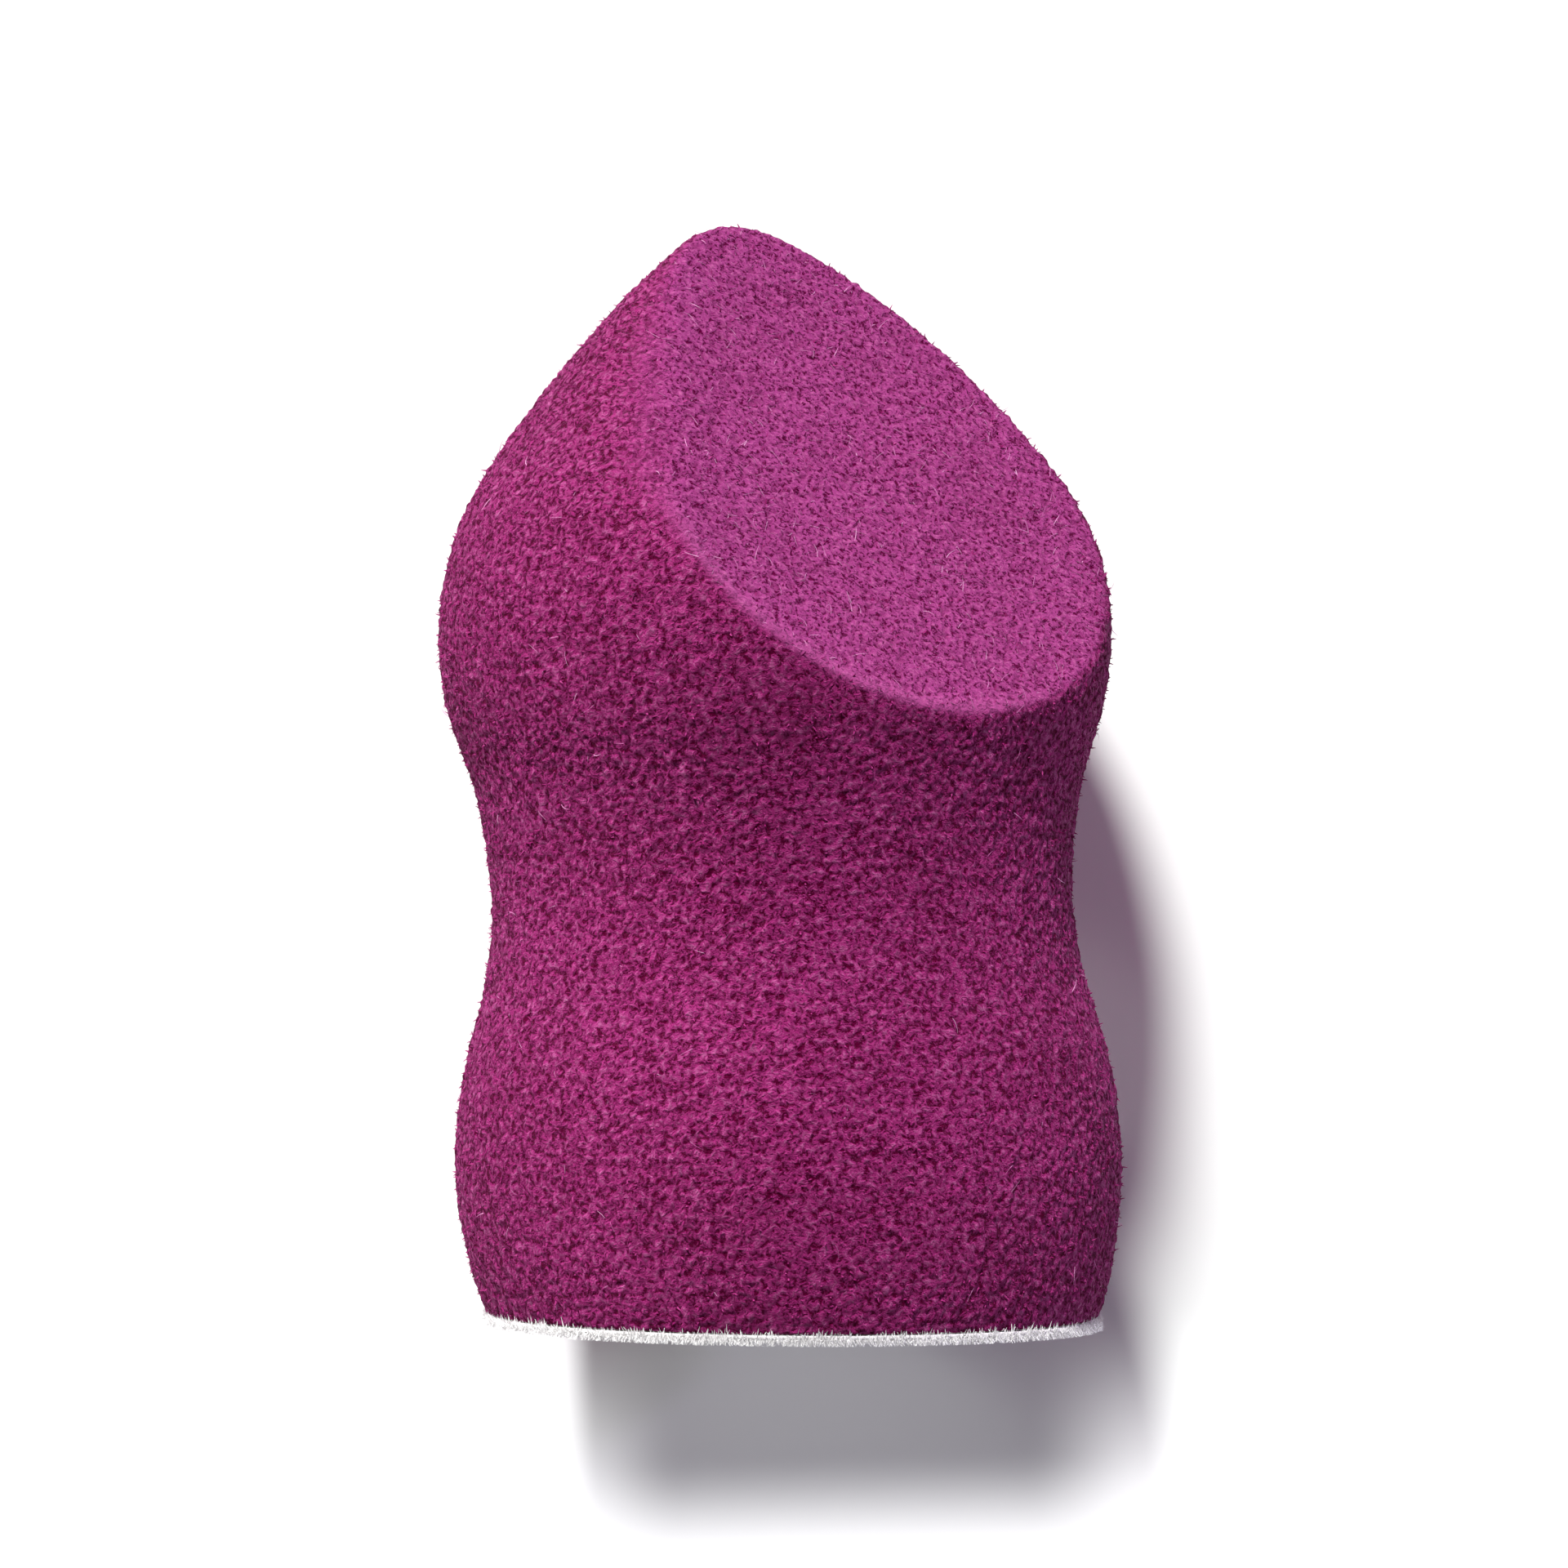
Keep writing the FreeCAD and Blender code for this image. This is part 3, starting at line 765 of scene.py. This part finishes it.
def turned_mesh(name, outline, steps=240, wobble=0.0, draw=None):
    """A disc turned about the sponge's axis from (height, radius) pairs that start and end on the axis."""
    turns = 2 * math.pi * np.arange(steps) / steps
    uneven = np.ones(steps)
    if draw is not None:
        waves = draw.normal(size=(EDGE_WAVES, 2)) / EDGE_WAVES
        uneven += wobble * sum(
            a * np.cos(n * turns) + b * np.sin(n * turns)
            for n, (a, b) in enumerate(waves, FEWEST_WAVES_ROUND)
        )
    (start, _), *rings, (end, _) = outline
    points = [(0, PAD_FACE + start, AXIS_RISE)]
    for height, radius in rings:
        for turn, share in zip(turns, uneven):
            reach = radius * share
            points.append((reach * math.cos(turn), PAD_FACE + height, AXIS_RISE + reach * math.sin(turn)))
    points.append((0, PAD_FACE + end, AXIS_RISE))
    last = len(points) - 1
    faces = []
    for step in range(steps):
        after = (step + 1) % steps
        faces.append((0, 1 + step, 1 + after))
        for ring in range(len(rings) - 1):
            low = 1 + ring * steps
            high = low + steps
            faces.append((low + step, high + step, high + after, low + after))
        top = 1 + (len(rings) - 1) * steps
        faces.append((top + step, last, top + after))
    mesh = bpy.data.meshes.new(name)
    mesh.from_pydata(settled(np.array(points)).tolist(), [], faces)
    mesh.polygons.foreach_set("use_smooth", np.ones(len(mesh.polygons), bool))
    return mesh


def ground_cloth():
    """The pad's ground cloth: a thin disc with rounded edges and a slightly uneven rim."""
    draw = np.random.default_rng(CLOTH_SEED)
    rim_radius = PAD_RADIUS - CLOTH_INSET
    radii = [PAD_RADIUS * share for share in CLOTH_RINGS]
    lower = [(PILE_DEPTH, radius) for radius in radii]
    upper = [(CLOTH_TOP, radius) for radius in reversed(radii)]
    rim = [
        (PILE_DEPTH, rim_radius - CLOTH_EDGE),
        (PILE_DEPTH + CLOTH_EDGE, rim_radius),
        (CLOTH_TOP - CLOTH_EDGE, rim_radius),
        (CLOTH_TOP, rim_radius - CLOTH_EDGE),
    ]
    outline = [(PILE_DEPTH, 0), *lower, *rim, *upper, (CLOTH_TOP, 0)]
    mesh = turned_mesh("velour_ground", outline, wobble=CLOTH_WOBBLE, draw=draw)
    cloth = show("velour_ground", mesh, cloth_material())
    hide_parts("velour_cloth")
    return cloth


def glue_film():
    """The film of glue between the cloth and the foam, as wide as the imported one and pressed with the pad."""
    glue_low, glue_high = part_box("glue_film")
    radius = (glue_high.x - glue_low.x) / 2
    radii = [radius * share for share in GLUE_RINGS]
    lower = [(CLOTH_TOP, reach) for reach in radii]
    upper = [(FOAM_BASE, reach) for reach in reversed(radii)]
    outline = [(CLOTH_TOP, 0), *lower, *upper, (FOAM_BASE, 0)]
    film = show("glue_layer", turned_mesh("glue_layer", outline), glue_material())
    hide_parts("glue_film")


# The pile's strands on the pad's face: how large they are, and how they lean in brushed patches and in clumps
PILE_SEED = 23
PILE_STRANDS = 14000
PILE_LENGTHS = (0.36, 0.52)
PILE_WIDTHS = (0.1, 0.17)
PILE_ROOT = 0.05
PILE_INSET = 0.15
PILE_SPREAD = 0.25
PILE_BEND = 0.18
PATCHES_PER_MM = 0.13
PATCH_LEAN = 0.8
CLUMPS_PER_MM = 0.7
CLUMP_LEAN = 1.3

# The strands along the pad's edge: how large they are, and the share of them that stand up in tufts
RIM_STRANDS = 10000
RIM_LENGTHS = (0.25, 0.5)
RIM_WIDTHS = (0.045, 0.075)
RIM_INSETS = (0.02, 0.16)
RIM_LOWEST = 0.1
RIM_BELOW_CLOTH_TOP = 0.05
RIM_LEAN = 0.15
RIM_SPREAD = 0.24
TUFT_CIRCLE = 60
TUFT_LAYER = 3
UPRIGHT_SHARE = 0.45
UPRIGHT_IN_TUFTS = 0.5
LONGER_IN_TUFTS = 0.5

# How far strands may pass the pad's face, how far they stay off the floor, and the soft bed's depth and rings
PAST_FACE = 0.03 * MM
OFF_FLOOR = 0.1 * MM
BED_DEPTH = 0.17 * MM
BED_RINGS = (0.9, 0.7, 0.5, 0.3, 0.1)


def around_axis(radius, turn, height):
    """Places at a radius and a turn about the sponge's axis, and the way out from the axis there."""
    out = np.stack([np.cos(turn), np.zeros_like(turn), np.sin(turn)], axis=1)
    places = out * radius[:, None]
    places[:, 1] = PAD_FACE + height
    places[:, 2] += AXIS_RISE
    return places, out


def leaning(places, waves_per_mm):
    """How far the pile leans along the pad's face at places in millimetres, in patches."""
    aside = Vector((40, 0, 0))
    return np.array([
        (noise.noise(place * waves_per_mm), 0, noise.noise(place * waves_per_mm + aside))
        for place in map(Vector, places)
    ])


def face_strands(draw):
    """Strands that stand on the pad's face in small clumps, brushed this way and that."""
    radius = np.sqrt(draw.uniform(0, 1, PILE_STRANDS)) * (PAD_RADIUS - PILE_INSET * MM)
    turn = draw.uniform(0, 2 * math.pi, PILE_STRANDS)
    roots, _ = around_axis(radius, turn, np.full(PILE_STRANDS, PILE_DEPTH - PILE_ROOT * MM))
    lean = PATCH_LEAN * leaning(roots / MM, PATCHES_PER_MM) + CLUMP_LEAN * leaning(roots / MM, CLUMPS_PER_MM)
    rise = np.array((0.0, -1.0, 0.0)) + lean + PILE_SPREAD * draw.normal(size=(PILE_STRANDS, 3))
    rise /= np.linalg.norm(rise, axis=1, keepdims=True)
    length = draw.uniform(*PILE_LENGTHS, (PILE_STRANDS, 1)) * MM
    return roots, rise * length, draw.uniform(*PILE_WIDTHS, PILE_STRANDS) * MM


def tufts_round(turn):
    """How tufted the strands are at turns about the axis, read along a circle through noise."""
    return np.array([
        noise.noise(Vector((TUFT_CIRCLE * math.cos(place), TUFT_CIRCLE * math.sin(place), TUFT_LAYER)))
        for place in turn
    ])


def rim_strands(draw):
    """Strands along the pad's edge: most hang over it, and tufts of them stand up over the foam's foot."""
    turn = draw.uniform(0, 2 * math.pi, RIM_STRANDS)
    height = draw.uniform(RIM_LOWEST * MM, CLOTH_TOP - RIM_BELOW_CLOTH_TOP * MM, RIM_STRANDS)
    radius = PAD_RADIUS - draw.uniform(*RIM_INSETS, RIM_STRANDS) * MM
    roots, out = around_axis(radius, turn, height)
    tufts = tufts_round(turn)
    upright = draw.uniform(0, 1, RIM_STRANDS) < UPRIGHT_SHARE + UPRIGHT_IN_TUFTS * tufts
    rise = RIM_LEAN * out + RIM_SPREAD * draw.normal(size=(RIM_STRANDS, 3))
    rise[:, 1] += np.where(upright, 1.0, -1.0)
    rise /= np.linalg.norm(rise, axis=1, keepdims=True)
    length = draw.uniform(*RIM_LENGTHS, RIM_STRANDS) * (1 + LONGER_IN_TUFTS * np.maximum(tufts, 0)) * MM
    return roots, rise * length[:, None], draw.uniform(*RIM_WIDTHS, RIM_STRANDS) * MM


def pile_bed_outline():
    """The bed that the strands stand in: (height, radius) pairs round its soft edge and over its face."""
    face_height = PILE_DEPTH - BED_DEPTH
    edge = [
        (PILE_DEPTH, PAD_RADIUS - 0.15 * MM),
        (PILE_DEPTH - 0.1 * MM, PAD_RADIUS - 0.12 * MM),
        (face_height + 0.06 * MM, PAD_RADIUS - 0.16 * MM),
        (face_height, PAD_RADIUS - 0.22 * MM),
    ]
    face = [(face_height, PAD_RADIUS * share) for share in BED_RINGS]
    return [(PILE_DEPTH, 0), *edge, *face, (face_height, 0)]


def velour_pile():
    """The pile: a soft bed with many short strands on its face and along its edge."""
    draw = np.random.default_rng(PILE_SEED)
    sets = (face_strands(draw), rim_strands(draw))
    roots, rises, widths = (np.concatenate(part) for part in zip(*sets))
    lengths = np.linalg.norm(rises, axis=1, keepdims=True)
    bends = PILE_BEND * lengths * draw.normal(size=rises.shape)
    mesh = strand_mesh("velour_pile_strands", roots, rises, bends, widths, rings=3)
    points = read_points(mesh)
    points[:, 1] = np.maximum(points[:, 1], PAD_FACE - PAST_FACE)
    points[:, 2] = np.maximum(points[:, 2], OFF_FLOOR)
    write_points(mesh, settled(points))
    material = pile_material()
    strands = show("velour_pile_strands", mesh, material)
    bed = show("velour_pile_bed", turned_mesh("velour_pile_bed", pile_bed_outline()), material)
    # The bed takes the strands' root colour: painted shade all over the bed
    keep_values(bed.data, "strand_share", np.zeros(len(bed.data.vertices)))
    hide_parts("velour_pile")
    return strands, bed


def build_sponge():
    foam = foam_body()
    foam_fibres(foam)
    cloth = ground_cloth()
    strands, bed = velour_pile()
    glue_film()


# The stage: the way each lamp shines from, its level, how wide it is in radians, and its colour

KEY_WAY = Vector((-0.21, 1.16, 1.0))
KEY_LEVEL = 1.18
KEY_ANGLE = 0.15
LEFT_WAY = Vector((-1.0, 0.5, 0.045))
LEFT_LEVEL = 0.95
RIGHT_WAY = Vector((1.0, 0.4, 0.14))
RIGHT_LEVEL = 0.3
FRONT_WAY = Vector((0.1, -1.0, 0.06))
FRONT_LEVEL = 0.12
FILL_ANGLE = 0.08
PLAIN_LIGHT = (1.0, 1.0, 1.0)
COOL_LIGHT = (0.98, 0.86, 1.25)

# The light from all round, which weakens with height, and the white behind
AMBIENT_COLOUR = (1.0, 0.89, 1.1, 1)
HORIZON_LEVEL = 0.23
OVERHEAD_LEVEL = 0.08
OVERHEAD_FROM = 0.7
BACKDROP_COLOUR = (1, 1, 1, 1)

# The floor as it lights the sponge and as it is seen, and where it fades the shadow below the pad to white
FLOOR_REACH = 3.0
FLOOR_COLOUR = (0.9, 0.9, 0.9, 1)
FLOOR_SEEN_COLOUR = (1.14, 1.18, 1.13, 1)
SHADOW_FADE_START = -42.0 * MM
SHADOW_FADE_END = -50.0 * MM
SHADOW_MIDDLE = 3.5 * MM
CORNER_FADE_START = 10.5 * MM
CORNER_FADE_END = 19.0 * MM
LEFT_FADE_START = -12.2 * MM
LEFT_FADE_END = -15.0 * MM
PAST_PAD = 2.0 * MM

# The camera: its place above the sponge's axis, its turn, and how wide its view is at the axis
CAMERA_RISE = 0.5
CAMERA_ASIDE = 0.295 * MM
CAMERA_ALONG = -0.53 * MM
CAMERA_TURN = math.radians(-1.455)
VIEW_WIDTH = 93.66 * MM
SENSOR = 36.0


def seen_straight(tree):
    """1 for rays that show the background itself: from the camera, off gloss or through glass."""
    path = tree.nodes.new("ShaderNodeLightPath").outputs
    seen = maths(tree, "MAXIMUM", path["Is Camera Ray"], path["Is Glossy Ray"])
    return maths(tree, "MAXIMUM", seen, path["Is Transmission Ray"])


def either(tree, first, second):
    """1 where either of two shares is 1, with no crease where they meet."""
    both = maths(tree, "MULTIPLY", first, second)
    return maths(tree, "SUBTRACT", maths(tree, "ADD", first, second), both)


def set_floor():
    """A pale floor that keeps the sponge's shadow. Its own light shows only to rays that see it straight."""
    mesh = bpy.data.meshes.new("floor")
    corners = [(x * FLOOR_REACH, y * FLOOR_REACH, 0) for x, y in ((-1, -1), (1, -1), (1, 1), (-1, 1))]
    mesh.from_pydata(corners, [], [(0, 1, 2, 3)])
    floor = bpy.data.objects.new("floor", mesh)
    bpy.context.scene.collection.objects.link(floor)
    material = bpy.data.materials.new("pale floor")
    material.use_nodes = True
    tree = material.node_tree
    tree.nodes.clear()
    seen = seen_straight(tree)
    colour = mixed(tree, seen, FLOOR_COLOUR, FLOOR_SEEN_COLOUR)
    surface = add(tree, "ShaderNodeBsdfDiffuse", {"Color": colour})
    place = tree.nodes.new("ShaderNodeTexCoord").outputs["Object"]
    spot = add(tree, "ShaderNodeSeparateXYZ", {0: place}).outputs
    end = fall(tree, spot["Y"], SHADOW_FADE_END, SHADOW_FADE_START)
    below = fall(tree, spot["Y"], SHADOW_FADE_END, PAD_FACE)
    aside = maths(tree, "ABSOLUTE", maths(tree, "SUBTRACT", spot["X"], SHADOW_MIDDLE), 0.0)
    corners = maths(tree, "MULTIPLY", ramp(tree, aside, CORNER_FADE_START, CORNER_FADE_END), below)
    past_pad = fall(tree, spot["Y"], PAD_FACE - PAST_PAD, PAD_FACE + PAST_PAD)
    left_edge = fall(tree, spot["X"], LEFT_FADE_END, LEFT_FADE_START)
    left = maths(tree, "MULTIPLY", left_edge, past_pad)
    white = either(tree, end, either(tree, corners, left))
    lift = add(tree, "ShaderNodeEmission", {"Strength": maths(tree, "MULTIPLY", seen, white)})
    both = add(tree, "ShaderNodeAddShader", {0: surface.outputs[0], 1: lift.outputs[0]})
    output = tree.nodes.new("ShaderNodeOutputMaterial")
    tree.links.new(both.outputs[0], output.inputs["Surface"])
    mesh.materials.append(material)


def set_world():
    world = bpy.data.worlds.new("studio")
    bpy.context.scene.world = world
    world.use_nodes = True
    tree = world.node_tree
    tree.nodes.clear()
    way = tree.nodes.new("ShaderNodeTexCoord").outputs["Generated"]
    rise = add(tree, "ShaderNodeSeparateXYZ", {0: way}).outputs["Z"]
    level = ramp(tree, rise, 0.0, OVERHEAD_FROM, HORIZON_LEVEL, OVERHEAD_LEVEL)
    ambient = add(tree, "ShaderNodeBackground", {"Color": AMBIENT_COLOUR, "Strength": level}).outputs[0]
    backdrop = add(tree, "ShaderNodeBackground", {"Color": BACKDROP_COLOUR, "Strength": 1.0}).outputs[0]
    both = add(tree, "ShaderNodeMixShader", {0: seen_straight(tree), 1: ambient, 2: backdrop})
    output = tree.nodes.new("ShaderNodeOutputWorld")
    tree.links.new(both.outputs[0], output.inputs["Surface"])


def set_lamp(name, way, level, angle, colour):
    """A lamp that shines from a direction. At level 1 it lights a white surface that faces it to white."""
    light = bpy.data.lights.new(name, "SUN")
    light.energy = math.pi * level
    light.angle = angle
    light.color = colour
    lamp = bpy.data.objects.new(name, light)
    lamp.rotation_euler = way.to_track_quat("Z", "Y").to_euler()
    bpy.context.scene.collection.objects.link(lamp)


def set_camera():
    """Straight above the lying sponge, turned a little, as the photograph was taken."""
    data = bpy.data.cameras.new("camera above")
    data.sensor_width = SENSOR
    data.lens = SENSOR * CAMERA_RISE / VIEW_WIDTH
    camera = bpy.data.objects.new("camera above", data)
    camera.location = (CAMERA_ASIDE, CAMERA_ALONG, AXIS_RISE + CAMERA_RISE)
    camera.rotation_euler = (0, 0, CAMERA_TURN)
    bpy.context.scene.collection.objects.link(camera)
    bpy.context.scene.camera = camera


build_sponge()
set_floor()
set_world()
set_lamp("key lamp", KEY_WAY, KEY_LEVEL, KEY_ANGLE, PLAIN_LIGHT)
set_lamp("left lamp", LEFT_WAY, LEFT_LEVEL, FILL_ANGLE, PLAIN_LIGHT)
set_lamp("right lamp", RIGHT_WAY, RIGHT_LEVEL, FILL_ANGLE, COOL_LIGHT)
set_lamp("front lamp", FRONT_WAY, FRONT_LEVEL, FILL_ANGLE, PLAIN_LIGHT)
set_camera()
bpy.context.scene.view_settings.view_transform = "Standard"
